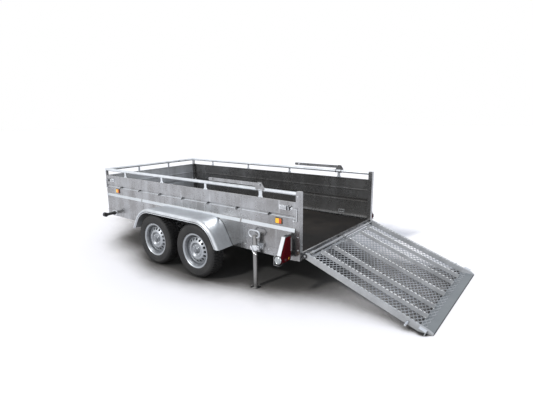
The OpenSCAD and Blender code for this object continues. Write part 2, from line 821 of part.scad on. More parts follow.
module ramp_end_plate() {
  color(galvanised) on_ramp() above_ground()
    translate([0, half_ramp - beam_t, 0])
      rotate([90, 0, 0])
        linear_extrude(height = ramp_width - 2 * beam_t)
          polygon([[-1068, mesh_low], [-1080, mesh_low], [-ramp_end, tip_low + 6], [-ramp_end, tip_low],
                   [-1080, mesh_low - 6], [-1068, mesh_low - 6]]);
}

module side_panel_left() place() on_side(1) side_panel();
module side_panel_right() place() on_side(-1) side_panel();

floor_board();
side_panel_left();
side_panel_right();
front_board();
rear_posts();
front_posts();
side_rails();
cross_members();
rear_sill();
drawbar();
overrun_unit();
shaft_gaiter();
coupling_head();
jockey_tube();
jockey_wheel();
axle_rear();
axle_front();
mudguard_left();
mudguard_right();
top_rail_left();
top_rail_right();
top_rail_front();
stay_brackets();
stay_bar_left();
stay_bar_right();
lamp_brackets();
lamp_housings();
lamp_lenses();
lamp_markers();
front_marker_plates();
front_marker_arms();
reflector_frames();
side_reflectors();
tarp_hooks();
side_latches();
lashing_rings();
stand_clamps();
lever_tips();
prop_stand_left();
prop_stand_right();
tyre_rear_left();
tyre_rear_right();
tyre_front_left();
tyre_front_right();
rim_rear_left();
rim_rear_right();
rim_front_left();
rim_front_right();
ramp_frame();
ramp_tread_bars();
ramp_mesh();
ramp_end_plate();
ramp_bushes();
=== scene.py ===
import json
import math

import bmesh
import bpy
from mathutils import Matrix, Vector


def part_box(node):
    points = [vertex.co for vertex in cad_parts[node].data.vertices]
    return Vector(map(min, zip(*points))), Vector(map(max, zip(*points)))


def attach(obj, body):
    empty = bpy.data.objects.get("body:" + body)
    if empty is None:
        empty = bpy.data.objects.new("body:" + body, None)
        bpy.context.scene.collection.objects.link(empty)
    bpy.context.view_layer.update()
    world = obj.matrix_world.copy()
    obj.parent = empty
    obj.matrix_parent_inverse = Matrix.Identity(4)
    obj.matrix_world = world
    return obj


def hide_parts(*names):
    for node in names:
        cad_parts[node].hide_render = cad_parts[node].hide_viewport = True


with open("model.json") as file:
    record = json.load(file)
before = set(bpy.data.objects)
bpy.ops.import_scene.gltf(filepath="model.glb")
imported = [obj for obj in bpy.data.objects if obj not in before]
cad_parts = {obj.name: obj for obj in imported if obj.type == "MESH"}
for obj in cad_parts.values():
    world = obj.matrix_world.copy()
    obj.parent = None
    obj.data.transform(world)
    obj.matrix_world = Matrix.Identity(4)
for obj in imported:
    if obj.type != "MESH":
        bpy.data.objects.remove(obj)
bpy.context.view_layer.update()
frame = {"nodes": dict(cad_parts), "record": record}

# Places are in metres in the trailer's own frame: X forward, Y to the left, Z up.
SHIFT = -1.593311          # from the rear posts to the frame's origin
HALF = 0.777               # middle of the trailer to the outer face of a side
HINGE = Vector((-0.0217 + SHIFT, 0, 0.382))
SLOPE = math.radians(19.39)
SIDES = (1, -1)            # left and right, as the sign of Y
AXLES = (1.112, 1.764)     # the rear and the front axle, from the rear posts
WHEEL_OUT = 0.946          # middle of the trailer to the middle of a tyre
WHEEL_HEIGHT = 0.282
BAR_PLACES = (-0.506, -0.305, 0.0, 0.305, 0.506)    # the notched bars across the ramp
PIN_DOWN, PIN_OUT = 0.988, 0.7225                   # the ramp's side pins: down its slope, and out


# ---------------------------------------------------------------- node helpers

def new_group(name, inputs, outputs):
    """A node group with number inputs, and number outputs or a normal."""
    group = bpy.data.node_groups.new(name, "ShaderNodeTree")
    for label, value in inputs.items():
        socket = group.interface.new_socket(label, in_out="INPUT", socket_type="NodeSocketFloat")
        socket.default_value = value
    for label in outputs:
        kind = "NodeSocketVector" if label == "Normal" else "NodeSocketFloat"
        group.interface.new_socket(label, in_out="OUTPUT", socket_type=kind)
    given = group.nodes.new("NodeGroupInput").outputs
    return group, given, group.nodes.new("NodeGroupOutput")


def join(tree, value, socket):
    """Puts another node's output or a plain value into a socket."""
    if isinstance(value, bpy.types.NodeSocket):
        tree.links.new(value, socket)
    else:
        socket.default_value = value


def feed(tree, made, **values):
    """Fills in a node's sockets by name."""
    for key, value in values.items():
        join(tree, value, made.inputs[key.replace("_", " ")])


def add(tree, kind, **values):
    """A new node with its settings and its sockets filled in."""
    made = tree.nodes.new(kind)
    for key, value in values.items():
        if hasattr(made, key):
            setattr(made, key, value)
        else:
            feed(tree, made, **{key: value})
    return made


def calc(tree, operation, *terms, kind="ShaderNodeMath", result=0, **values):
    """The result of a math node whose terms are sockets or plain values."""
    made = add(tree, kind, operation=operation, **values)
    for term, socket in zip(terms, made.inputs):
        join(tree, term, socket)
    return made.outputs[result]


def span(tree, source, low, high, **values):
    """What lies between low and high, spread over 0 to 1."""
    return add(tree, "ShaderNodeMapRange", Value=source, From_Min=low, From_Max=high,
               **values).outputs["Result"]


def soft_span(tree, source, low, high, **values):
    return span(tree, source, low, high, interpolation_type="SMOOTHSTEP", **values)


def noise(tree, place, scale, **values):
    return add(tree, "ShaderNodeTexNoise", Vector=place, Scale=scale, **values).outputs["Fac"]


def ramp(tree, stops, source):
    made = add(tree, "ShaderNodeValToRGB", Fac=source)
    while len(made.color_ramp.elements) < len(stops):
        made.color_ramp.elements.new(0.5)
    for element, (at, colour) in zip(made.color_ramp.elements, stops):
        element.position = at
        element.color = (*colour, 1)
    return made.outputs[0]


def places(tree):
    return tree.nodes.new("ShaderNodeTexCoord").outputs


def split(tree, source):
    return add(tree, "ShaderNodeSeparateXYZ", Vector=source).outputs


def grey_of(tree, source):
    return add(tree, "ShaderNodeRGBToBW", Color=source).outputs[0]


# ---------------------------------------------------------------- shared effects

def spangle_group():
    """Zinc crystals, dull bloom and run marks of hot-dip galvanising."""
    group, given, out = new_group("zinc spangle", {
        "Crystal Scale": 70.0, "Bloom Scale": 3.0, "Streak Scale": 9.0, "Strength": 1.0},
        ("Shade", "Height"))
    place = places(group)["Object"]
    cells = add(group, "ShaderNodeTexVoronoi", feature="F1", Vector=place,
                Scale=given["Crystal Scale"])
    crystal = grey_of(group, cells.outputs["Color"])
    bloom = noise(group, place, given["Bloom Scale"], Detail=5.0, Roughness=0.6)
    stretch = add(group, "ShaderNodeMapping", Vector=place, Scale=(1.0, 1.0, 0.12))
    streak = noise(group, stretch.outputs["Vector"], given["Streak Scale"], Detail=3.0,
                   Roughness=0.55)
    # each of the three swings evenly about nothing
    swings = [calc(group, "MULTIPLY_ADD", source, depth, -depth / 2)
              for source, depth in ((bloom, 1.3), (streak, 0.9), (crystal, 0.22))]
    total = calc(group, "ADD", calc(group, "ADD", swings[0], swings[1]), swings[2])
    strong = calc(group, "MULTIPLY", total, given["Strength"])
    feed(group, out, Shade=calc(group, "ADD", strong, 0.5, use_clamp=True), Height=crystal)
    return group


def dust_group():
    """Pale road dust that gathers in patches."""
    group, given, out = new_group("road dust", {"Scale": 6.0, "Amount": 0.3}, ("Mask",))
    patches = noise(group, places(group)["Object"], given["Scale"], Detail=6.0, Roughness=0.65)
    feed(group, out, Mask=soft_span(group, patches, 0.42, 0.72, To_Max=given["Amount"]))
    return group


def grain_group():
    """Fine raised grain for rubber, moulded plastic and paint."""
    group, given, out = new_group("fine grain", {"Scale": 300.0, "Depth": 0.3}, ("Normal",))
    height = noise(group, places(group)["Object"], given["Scale"], Detail=3.0)
    bump = add(group, "ShaderNodeBump", Distance=0.0006, Height=height, Strength=given["Depth"])
    feed(group, out, Normal=bump.outputs["Normal"])
    return group


def inside_shade_group():
    """The faces of the sides that look into the load body, darkened: painted shade, with some
    wear.
    """
    group, given, out = new_group("inside shade and wear", {"Amount": 1.0}, ("Mask",))
    place = places(group)
    inward = calc(group, "MULTIPLY", place["Object"], place["Normal"],
                  kind="ShaderNodeVectorMath")
    turned = calc(group, "LESS_THAN", split(group, inward)["Y"], -0.2)
    height = split(group, place["Object"])["Z"]
    band = calc(group, "MULTIPLY", calc(group, "GREATER_THAN", height, 0.404),
                calc(group, "LESS_THAN", height, 0.868))
    shade_and_wear_patches = noise(group, place["Object"], 3.5, Detail=6.0, Roughness=0.6)
    patchy = span(group, shade_and_wear_patches, 0.35, 0.60, To_Min=0.55)
    # painted shade with some wear, on the inside faces of the walls only
    worn = calc(group, "MULTIPLY", calc(group, "MULTIPLY", turned, band), patchy)
    feed(group, out, Mask=calc(group, "MULTIPLY", worn, given["Amount"]))
    return group


def scuff_group():
    """Thin pale runs down the sheets and small bright specks."""
    group, given, out = new_group("pale runs and specks", {
        "Run Scale": 26.0, "Speck Scale": 60.0}, ("Mask",))
    place = places(group)["Object"]
    stretch = add(group, "ShaderNodeMapping", Vector=place, Rotation=(0.0, 0.05, 0.0),
                  Scale=(1.0, 1.0, 0.09))
    runs = noise(group, stretch.outputs["Vector"], given["Run Scale"], Detail=2.0,
                 Roughness=0.5)
    specks = noise(group, place, given["Speck Scale"], Detail=4.0, Roughness=0.7)
    feed(group, out, Mask=calc(group, "MAXIMUM", soft_span(group, runs, 0.62, 0.74),
                               soft_span(group, specks, 0.63, 0.72)))
    return group


def ring_shade_group():
    """Painted shade in the well and the round grooves of a wheel, in patches."""
    group, given, out = new_group("ring grime", {"Amount": 1.0}, ("Mask",))
    place = places(group)["Object"]
    flat = calc(group, "MULTIPLY", place, (1.0, 0.0, 1.0), kind="ShaderNodeVectorMath")
    reaches = [calc(group, "DISTANCE", flat, (x + SHIFT, 0.0, WHEEL_HEIGHT),
                    kind="ShaderNodeVectorMath", result="Value") for x in AXLES]
    # the ramp's stops are in fifths of a metre from the middle of the wheel
    fifths = calc(group, "MULTIPLY", calc(group, "MINIMUM", *reaches), 5.0)
    rings = ramp(group, [(at, (tone,) * 3) for at, tone in (
        (0.16, 0.75), (0.19, 0.1), (0.28, 0.15), (0.32, 0.55), (0.375, 0.65), (0.41, 0.0),
        (0.66, 0.05), (0.70, 0.9), (0.80, 1.0), (0.835, 0.1), (0.92, 0.0))], fifths)
    patchy = span(group, noise(group, place, 30.0, Detail=4.0), 0.3, 0.6, To_Min=0.7)
    grime = calc(group, "MULTIPLY", grey_of(group, rings), patchy)
    feed(group, out, Mask=calc(group, "MULTIPLY", grime, given["Amount"]))
    return group


SPANGLE = spangle_group()
RING_SHADE = ring_shade_group()
INSIDE_SHADE = inside_shade_group()
SCUFF = scuff_group()
DUST = dust_group()
GRAIN = grain_group()


# ---------------------------------------------------------------- finishes

def finish(name, **values):
    made = bpy.data.materials.new(name)
    made.use_nodes = True
    shader = made.node_tree.nodes["Principled BSDF"]
    feed(made.node_tree, shader, **values)
    return made, made.node_tree, shader


def use(tree, group, **values):
    """The outputs of a shared effect."""
    return add(tree, "ShaderNodeGroup", node_tree=group, **values).outputs


def layer(tree, under, colour, mask):
    """Lays a colour over another where the mask says."""
    return add(tree, "ShaderNodeMix", data_type="RGBA", Factor=mask, A=under,
               B=(*colour, 1)).outputs["Result"]


def zinc_finish(name, dark, light, metallic, rough_low, rough_high, crystal, strength,
                worn=False):
    made, tree, shader = finish(name, Metallic=metallic)
    spangle = use(tree, SPANGLE, Crystal_Scale=crystal, Strength=strength)
    colour = ramp(tree, [(0.15, dark), (0.85, light)], spangle["Shade"])
    if worn:
        scuffs = calc(tree, "MULTIPLY", use(tree, SCUFF)["Mask"], 0.34)
        colour = layer(tree, colour, (0.66, 0.68, 0.70), scuffs)
        # painted shade with some wear: a darker colour on the inside faces
        colour = layer(tree, colour, (0.21, 0.205, 0.20), use(tree, INSIDE_SHADE)["Mask"])
    rough = span(tree, spangle["Shade"], 0.0, 1.0, To_Min=rough_low, To_Max=rough_high)
    bump = add(tree, "ShaderNodeBump", Strength=0.12, Distance=0.0004, Height=spangle["Height"])
    feed(tree, shader, Base_Color=colour, Roughness=rough, Normal=bump.outputs["Normal"])
    return made


def plain_finish(name, colour, worn, roughness, grain=300.0, depth=0.3, dust=0.25,
                 grime=None, **more):
    made, tree, shader = finish(name, Roughness=roughness, **more)
    mask = use(tree, DUST, Scale=7.0, Amount=dust)["Mask"]
    tone = ramp(tree, [(0.0, colour), (1.0, worn)], mask)
    if grime:
        # painted shade in the well and the round grooves of the wheels
        tone = layer(tree, tone, grime, use(tree, RING_SHADE, Amount=0.9)["Mask"])
    feed(tree, shader, Base_Color=tone,
         Normal=use(tree, GRAIN, Scale=grain, Depth=depth)["Normal"])
    return made


def board_finish():
    """Dark coated plywood with its anti-slip pattern."""
    made, tree, shader = finish("coated_floor", Specular_IOR_Level=0.12)
    mask = use(tree, DUST, Scale=2.2, Amount=0.8)["Mask"]
    tone = ramp(tree, [(0.0, (0.008, 0.007, 0.0065)), (1.0, (0.036, 0.030, 0.025))], mask)
    rough = span(tree, mask, 0.0, 1.0, To_Min=0.6, To_Max=0.9)
    cells = add(tree, "ShaderNodeTexVoronoi", Vector=places(tree)["Object"], Scale=180.0)
    bump = add(tree, "ShaderNodeBump", Strength=0.35, Distance=0.0008,
               Height=cells.outputs["Distance"])
    feed(tree, shader, Base_Color=tone, Roughness=rough, Normal=bump.outputs["Normal"])
    return made


# dark and light tone, metallic, lowest and highest roughness, crystals a metre, contrast
ZINC_LOOKS = {
    "galvanised_steel": ((0.22, 0.215, 0.21), (0.45, 0.46, 0.475), 0.9, 0.18, 0.36, 90.0, 0.9,
                         True),
    "zinc_plate": ((0.56, 0.575, 0.59), (0.84, 0.86, 0.88), 0.9, 0.18, 0.32, 160.0, 0.5),
    "pressed_zinc": ((0.48, 0.50, 0.525), (0.74, 0.77, 0.80), 0.78, 0.30, 0.46, 70.0, 0.75),
    "smooth_plate": ((0.19, 0.21, 0.225), (0.275, 0.295, 0.31), 0.8, 0.46, 0.60, 40.0, 0.5),
    "matt_zinc": ((0.265, 0.27, 0.275), (0.46, 0.47, 0.48), 0.45, 0.42, 0.60, 60.0, 0.7),
    "sky_highlight_zinc": ((0.43, 0.45, 0.47), (0.58, 0.61, 0.64), 0.6, 0.42, 0.56, 60.0, 0.35),
    "tube_zinc": ((0.22, 0.215, 0.205), (0.40, 0.40, 0.40), 0.95, 0.16, 0.30, 120.0, 0.6),
    "rail_zinc": ((0.52, 0.545, 0.57), (0.80, 0.83, 0.86), 0.7, 0.24, 0.40, 110.0, 0.8),
    "board_zinc": ((0.44, 0.45, 0.46), (0.70, 0.72, 0.75), 0.6, 0.30, 0.46, 90.0, 0.9),
    "dull_zinc": ((0.25, 0.255, 0.26), (0.44, 0.455, 0.475), 0.55, 0.55, 0.75, 200.0, 0.9),
}
# clean and dusty tone, roughness, then what differs from the usual
LENS = {"grain": 60.0, "depth": 0.1, "dust": 0.1}
PLAIN_LOOKS = {
    "tyre_rubber": ((0.008, 0.008, 0.0085), (0.030, 0.028, 0.025), 0.7,
                    {"grain": 500.0, "depth": 0.4, "dust": 0.5}),
    "black_rubber": ((0.02, 0.02, 0.02), (0.06, 0.058, 0.055), 0.65, {}),
    "black_plastic": ((0.022, 0.022, 0.024), (0.07, 0.07, 0.07), 0.5, {}),
    "wheel_silver": ((0.38, 0.40, 0.425), (0.30, 0.31, 0.32), 0.42,
                     {"grain": 700.0, "depth": 0.12, "dust": 0.5, "Metallic": 0.6,
                      "grime": (0.085, 0.090, 0.098)}),
    "red_lens": ((0.060, 0.0015, 0.0035), (0.075, 0.003, 0.005), 0.45,
                 {**LENS, "Specular_IOR_Level": 0.03}),
    "amber_lens": ((0.90, 0.47, 0.012), (0.80, 0.45, 0.05), 0.2, {**LENS, "Coat_Weight": 0.5}),
    "deep_amber": ((0.50, 0.055, 0.010), (0.4, 0.08, 0.02), 0.22, {**LENS, "Coat_Weight": 0.5}),
    "clear_lens": ((0.36, 0.38, 0.39), (0.26, 0.26, 0.25), 0.22,
                   {"grain": 90.0, "depth": 0.4, "dust": 0.5, "Coat_Weight": 0.6}),
    "bright_bar": ((0.52, 0.54, 0.57), (0.40, 0.40, 0.40), 0.28,
                   {"grain": 250.0, "depth": 0.1, "Metallic": 0.35}),
    "bare_and_shaded_edge": ((0.030, 0.030, 0.033), (0.08, 0.075, 0.07), 0.6, {"Metallic": 0.5}),
    "cast_iron": ((0.010, 0.009, 0.009), (0.030, 0.024, 0.020), 0.75, {"dust": 0.5}),
    "painted_groove_shade": ((0.060, 0.062, 0.066), (0.12, 0.12, 0.12), 0.8, {}),
    "pale_face": ((0.58, 0.585, 0.59), (0.46, 0.45, 0.43), 0.4, {"grain": 200.0, "depth": 0.1}),
}
LOOKS = {name: zinc_finish(name, *values) for name, values in ZINC_LOOKS.items()}
LOOKS.update({name: plain_finish(name, *values, **more)
              for name, (*values, more) in PLAIN_LOOKS.items()})
LOOKS["coated_floor"] = board_finish()

SLOT_LOOK = {
    "galvanised_steel": "galvanised_steel", "bright_zinc": "zinc_plate",
    "floor_board": "coated_floor", "tyre": "tyre_rubber", "black_rubber": "black_rubber",
    "wheel_silver": "wheel_silver", "black_plastic": "black_plastic", "lamp_red": "red_lens",
    "amber_lens": "amber_lens", "clear_lens": "clear_lens",
}
NODE_LOOK = {
    "ramp_end_plate": "smooth_plate", "ramp_tread_bars": "matt_zinc", "ramp_frame": "matt_zinc",
    "prop_stand_left": "tube_zinc", "prop_stand_right": "tube_zinc",
    "top_rail_left": "rail_zinc", "top_rail_right": "rail_zinc", "top_rail_front": "rail_zinc",
    "stand_clamps": "zinc_plate", "front_board": "board_zinc",
}
for entry in frame["record"]["subparts"]:
    look = NODE_LOOK.get(entry["node"], SLOT_LOOK[entry["material_slot"]])
    for spot in frame["nodes"][entry["node"]].material_slots:
        spot.material = LOOKS[look]


# ---------------------------------------------------------------- making pieces

def piece(name, mesh, body, material_slot, angle=35, look=None):
    """Turns a bmesh into a piece that rides on a body."""
    bmesh.ops.recalc_face_normals(mesh, faces=mesh.faces)
    data = bpy.data.meshes.new(name)
    mesh.to_mesh(data)
    mesh.free()
    made = bpy.data.objects.new(name, data)
    bpy.context.scene.collection.objects.link(made)
    data.materials.append(LOOKS[look or SLOT_LOOK[material_slot]])
    data.set_sharp_from_angle(angle=math.radians(angle))
    for face in data.polygons:
        face.use_smooth = True
    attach(made, body)
    return made


def lathe(mesh, profile, centre, direction, steps, closed=False):
    """Spins a profile of (radius, distance along) round a line."""
    along = Vector(direction).normalized()
    first = along.orthogonal().normalized()
    centre = Vector(centre)
    older = len(mesh.verts)
    points = [mesh.verts.new(centre + along * shift + first * radius)
              for radius, shift in profile]
    edges = [mesh.edges.new(pair) for pair in zip(points, points[1:])]
    if closed:
        edges.append(mesh.edges.new((points[-1], points[0])))
    bmesh.ops.spin(mesh, geom=points + edges, cent=centre, axis=along, angle=math.tau,
                   steps=steps, use_merge=True)
    if not closed:
        # the ends on the line itself become one point each
        mesh.verts.ensure_lookup_table()
        poles = [spot for spot in mesh.verts[older:]
                 if (spot.co - centre).cross(along).length < 1e-6]
        bmesh.ops.remove_doubles(mesh, verts=poles, dist=1e-6)


def solids(mesh, shapes):
    """Solids pulled up from four-cornered faces, one row of corners after another."""
    bases = [[mesh.verts.new(spot) for spot in rows[0]] for rows in shapes]
    faces = []
    for number, base in enumerate(bases):
        faces.append(mesh.faces.new(base))
        # an extruded face keeps this number, which says whose it is
        faces[-1].material_index = number
    for step in range(1, len(shapes[0])):
        faces = bmesh.ops.extrude_discrete_faces(mesh, faces=faces)["faces"]
        for face in faces:
            for corner, spot in zip(face.verts, shapes[face.material_index][step]):
                corner.co = spot
    for base in bases:
        mesh.faces.new(base)
    for face in mesh.faces:
        face.material_index = 0


def pad(place, low, high, depths):
    """Rows of corners for solids(): a rectangle at each depth, drawn in by its edge."""
    rows = []
    for depth, edge in depths:
        a1, b1, a2, b2 = low[0] + edge, low[1] + edge, high[0] - edge, high[1] - edge
        rows.append([place(a, b, depth) for a, b in ((a1, b1), (a2, b1), (a2, b2), (a1, b2))])
    return rows


def hex_bolt(mesh, at, direction, size):
    """A bolt head on its washer, with the rounded top a forged head has."""
    lathe(mesh, [(0, 0), (size * 0.95, 0), (size, 0.0004), (size, 0.0016),
                 (size * 0.93, 0.002), (0, 0.002)], at, direction, 24)
    base = 0.0019
    lathe(mesh, [(0, base), (size * 0.62, base), (size * 0.62, base + size * 0.38),
                 (size * 0.52, base + size * 0.5), (0, base + size * 0.5)], at, direction, 6)


def weld(mesh, start, end, radius, pitch=0.006):
    """A weld bead with its ripples."""
    run = end - start
    count = max(3, int(run.length / pitch))
    profile = [(0, 0)]
    for k in range(count):
        at = run.length * k / count
        profile += [(radius * 0.82, at + 0.0002), (radius, at + run.length / count * 0.6)]
    lathe(mesh, profile + [(0, run.length)], start, run, 8)


DOWN_RAMP = Vector((-math.cos(SLOPE), 0, -math.sin(SLOPE)))
OFF_RAMP = Vector((-math.sin(SLOPE), 0, math.cos(SLOPE)))


def ramp_point(s, y, up):
    """A place on the ramp at rest: s down its slope, up square to it."""
    return HINGE + DOWN_RAMP * s + OFF_RAMP * up + Vector((0, y, 0))


def at_post(x, y, z):
    """A place given from the rear posts."""
    return Vector((x + SHIFT, y, z))


def on_side(side):
    """Gives places on a side of the body: along it, up, and out from its sheet."""
    return lambda x, z, out: at_post(x, side * (HALF + out), z)


# ---------------------------------------------------------------- tyres and wheels

HANDS = (("left", 1), ("right", -1))
WHEELS = {end + "_" + hand: (x, side) for end, x in zip(("rear", "front"), AXLES)
          for hand, side in HANDS}
# half the outline of a tyre without its blocks: radius, and distance from its middle
SIDEWALL = [
    (0.1660, 0.0605), (0.1784, 0.0608), (0.1828, 0.0661), (0.1828, 0.0700), (0.1840, 0.0722),
    (0.1900, 0.0750), (0.2000, 0.0783), (0.2060, 0.0793), (0.2066, 0.0803), (0.2100, 0.0805),
    (0.2106, 0.0797), (0.2200, 0.0812), (0.2320, 0.0823), (0.2440, 0.0821), (0.2446, 0.0824),
    (0.2476, 0.0820), (0.2482, 0.0812), (0.2560, 0.0795), (0.2625, 0.0755), (0.2680, 0.0700),
    (0.2716, 0.0640), (0.2732, 0.0580)]
BLOCK_ROOT = 0.2700        # radius inside the tyre at which the tread blocks start
BLOCK_LEAN = 0.004         # how far round their flanks lean in
# rows of blocks: how many, their share of a pitch, where the first one starts, and the
# place across the tyre and the outer radius of each edge
CROWN = [(48, 0.80, 0.0, [(-0.0105, 0.2817), (0.0105, 0.2817)]),
         (52, 0.80, 0.4, [(0.0145, 0.2817), (0.0300, 0.2817)]),
         (52, 0.80, 0.6, [(-0.0300, 0.2817), (-0.0145, 0.2817)])]
SHOULDERS = [(56, 0.74, 0.25 * side, [(side * 0.0345, 0.2816), (side * 0.0560, 0.2806),
                                      (side * 0.0665, 0.2760), (side * 0.0715, 0.2690)])
             for side in SIDES]
BOLT_CIRCLE = 0.049


def tread_block(centre, start, turn, edges):
    """Rows of corners of one tread block, which takes up a turn of the tyre."""
    end = start + turn
    return [[centre + Vector((r * math.cos(a), across, r * math.sin(a))) for a, r in
             ((start, BLOCK_ROOT), (end, BLOCK_ROOT), (end - BLOCK_LEAN, outer),
              (start + BLOCK_LEAN, outer))] for across, outer in edges]


def tyre_piece(name, x, side):
    mesh = bmesh.new()
    centre = at_post(x, side * WHEEL_OUT, WHEEL_HEIGHT)
    lathe(mesh, SIDEWALL + [(r, -across) for r, across in reversed(SIDEWALL)], centre,
          (0, 1, 0), 96, closed=True)
    for rows in (CROWN, SHOULDERS):
        solids(mesh, [tread_block(centre, math.tau * (k + first) / count,
                                  math.tau / count * share, edges)
                      for count, share, first, edges in rows for k in range(count)])
    made = piece("tyre_tread_" + name, mesh, "wheel_" + name, "tyre", angle=28)
    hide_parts("tyre_" + name)


def wheel_details(name, x, side):
    body = "wheel_" + name
    hub = at_post(x, side * WHEEL_OUT, WHEEL_HEIGHT)
    out = Vector((0, side, 0))
    bolts, cap, valve = bmesh.new(), bmesh.new(), bmesh.new()
    for k in range(4):
        a = math.tau * (k + 0.5) / 4
        spot = hub + Vector((BOLT_CIRCLE * math.cos(a), side * 0.0362,
                             BOLT_CIRCLE * math.sin(a)))
        lathe(bolts, [(0.0095, 0), (0.0095, 0.002), (0.0082, 0.0035), (0.0082, 0.0115),
                      (0.0070, 0.0132), (0, 0.0134)], spot, out, 6)
    piece("wheel_bolts_" + name, bolts, body, "bright_zinc")
    lathe(cap, [(0.0240, 0.0505), (0.0250, 0.0515), (0.0250, 0.0530), (0.0226, 0.0545),
                (0.0222, 0.0600), (0.0205, 0.0632), (0.0120, 0.0652), (0, 0.0655)], hub, out, 48)
    piece("hub_cap_" + name, cap, body, "wheel_silver")
    foot = hub + Vector((0.0250, side * 0.0240, 0.1388))
    for profile in ([(0.0062, 0), (0.0066, 0.004), (0.0048, 0.007), (0.0042, 0.020),
                     (0.0040, 0.0205)],
                    [(0.0040, 0.020), (0.0043, 0.021), (0.0043, 0.028), (0.0032, 0.030),
                     (0, 0.030)]):
        lathe(valve, profile, foot, Vector((0, side, 0.25)), 16)
    piece("tyre_valve_" + name, valve, body, "black_rubber")


def drum_faces():
    """The cast brake drums, dark behind the holes of the wheels."""
    mesh = bmesh.new()
    for x, side in WHEELS.values():
        lathe(mesh, [(0.0205, 0.0005), (0.0600, 0.0005), (0.0620, 0.0025), (0.0900, 0.0025),
                     (0.0920, 0.0008), (0.1150, 0.0008), (0.1186, -0.0020), (0.1186, -0.0480),
                     (0.1180, -0.0480), (0.1178, -0.0006), (0.0205, -0.0006)],
              at_post(x, side * 0.920, WHEEL_HEIGHT), (0, side, 0), 64, closed=True)
    piece("brake_drum_faces", mesh, "chassis", "galvanised_steel", look="cast_iron")


# ---------------------------------------------------------------- ramp

MESH_LONG, MESH_SHORT = 0.0730, 0.0366      # one opening, across and down the ramp
MESH_EDGE = 0.698                           # where the mesh meets the side beams
MESH_START, MESH_END = 0.020, 1.132
STRAND_LEAN = math.radians(24)              # as cutting and stretching leaves the strands


def mesh_level(s):
    """Height of the mesh above the hinge line's plane: it follows the bent end plate."""
    return -0.0165 + max(0.0, s - 1.080) * 0.344


def shortened(inner, outer):
    """The end of a strand, brought back to the mesh's edge where it runs past it."""
    if abs(outer[1]) <= MESH_EDGE:
        return outer
    keep = (MESH_EDGE - abs(inner[1])) / (abs(outer[1]) - abs(inner[1]))
    return tuple(a + (b - a) * keep for a, b in zip(inner, outer))


def thick(spots, tall):
    """Two rows of corners, tall under and over a flat shape on the ramp."""
    return [spot - tall for spot in spots], [spot + tall for spot in spots]


def strand(first, second):
    """The strand between two knots, in a list that is empty where it is cut away."""
    second = shortened(first, second)
    first = shortened(second, first)
    a, b = [ramp_point(s, y, mesh_level(s)) for s, y in (first, second)]
    run = b - a
    if run.length < 0.004:
        return []
    side = run.cross(OFF_RAMP).normalized()
    if side.dot(DOWN_RAMP) < 0:
        side = -side
    wide = (side * math.cos(STRAND_LEAN) - OFF_RAMP * math.sin(STRAND_LEAN)) * 0.0028
    tall = (OFF_RAMP * math.cos(STRAND_LEAN) + side * math.sin(STRAND_LEAN)) * 0.0015
    reach = run.normalized() * 0.0016
    a, b = a - reach, b + reach
    return [thick((a - wide, a + wide, b + wide, b - wide), tall)]


def expanded_mesh():
    """The mesh of the ramp, strand by strand, with its knots."""
    wide, deep = Vector((0, 0.0085, 0)), DOWN_RAMP * 0.0026 - OFF_RAMP * 0.0010
    shapes = []
    for i in range(int((MESH_END - MESH_START) / (MESH_SHORT / 2))):
        s = MESH_START + i * MESH_SHORT / 2
        for j in range(-1, int(2 * MESH_EDGE / MESH_LONG) + 3):
            y = -MESH_EDGE + (j + i % 2 / 2) * MESH_LONG
            for y_next in (y - MESH_LONG / 2, y + MESH_LONG / 2):
                if abs(y) <= MESH_EDGE or abs(y_next) <= MESH_EDGE:
                    shapes += strand((s, y), (s + MESH_SHORT / 2, y_next))
            # the knot where four strands meet
            if abs(y) < MESH_EDGE - 0.010:
                c = ramp_point(s, y, mesh_level(s))
                shapes.append(thick((c - wide, c - deep, c + wide, c + deep),
                                    OFF_RAMP * 0.0018))
    mesh = bmesh.new()
    solids(mesh, shapes)
    made = piece("expanded_mesh", mesh, "ramp", "galvanised_steel", angle=20, look="dull_zinc")
    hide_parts("ramp_mesh")


def tread_teeth():
    """The rolled, worn tops of the notched bars and side beams, in a lighter zinc: wear, with a
    painted highlight of the sky.
    """
    start, pitch, tooth, count = 0.0732, 0.037, 0.0226, 27
    shapes = []
    for y, wide in [(y, 0.0054) for y in BAR_PLACES] + [(-0.7015, 0.0040), (0.7015, 0.0040)]:
        for k in range(count):
            s1 = start + k * pitch
            s2 = 1.050 if k == count - 1 else s1 + tooth
            shapes.append(pad(ramp_point, (s1, y - wide), (s2, y + wide),
                              ((0.0234, 0.0), (0.0260, 0.0010))))
    mesh = bmesh.new()
    solids(mesh, shapes)
    piece("tread_tooth_tops", mesh, "ramp", "bright_zinc", angle=20)


def ramp_tip_edge():
    """The dark front edge of the end plate: worn bare steel, with painted shade."""
    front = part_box("ramp_end_plate")[0][0]
    mesh = bmesh.new()
    solids(mesh, [pad(lambda y, z, out: Vector((front + out, y, z)), (-0.7, 0.0004),
                      (0.7, 0.0058), ((-0.0006, 0.0), (0.0008, 0.0)))])
    piece("ramp_tip_edge", mesh, "ramp", "galvanised_steel", angle=20, look="bare_and_shaded_edge")


def ramp_welds():
    mesh = bmesh.new()
    for y in BAR_PLACES:
        for off in (-0.005, 0.005):
            for s1, s2 in ((1.044, 1.076), (0.042, 0.070)):
                weld(mesh, ramp_point(s1, y + off, -0.0140), ramp_point(s2, y + off, -0.0140),
                     0.0035)
    for side in SIDES:
        weld(mesh, ramp_point(1.078, side * 0.7235, 0.0180),
             ramp_point(1.134, side * 0.7235, 0.0180), 0.0035)
        lathe(mesh, [(0.0108, 0.0), (0.0118, 0.002), (0.0105, 0.0045), (0.0081, 0.006)],
              ramp_point(PIN_DOWN, side * PIN_OUT, 0.0), (0, side, 0), 24)
    piece("ramp_welds", mesh, "ramp", "galvanised_steel", angle=60)


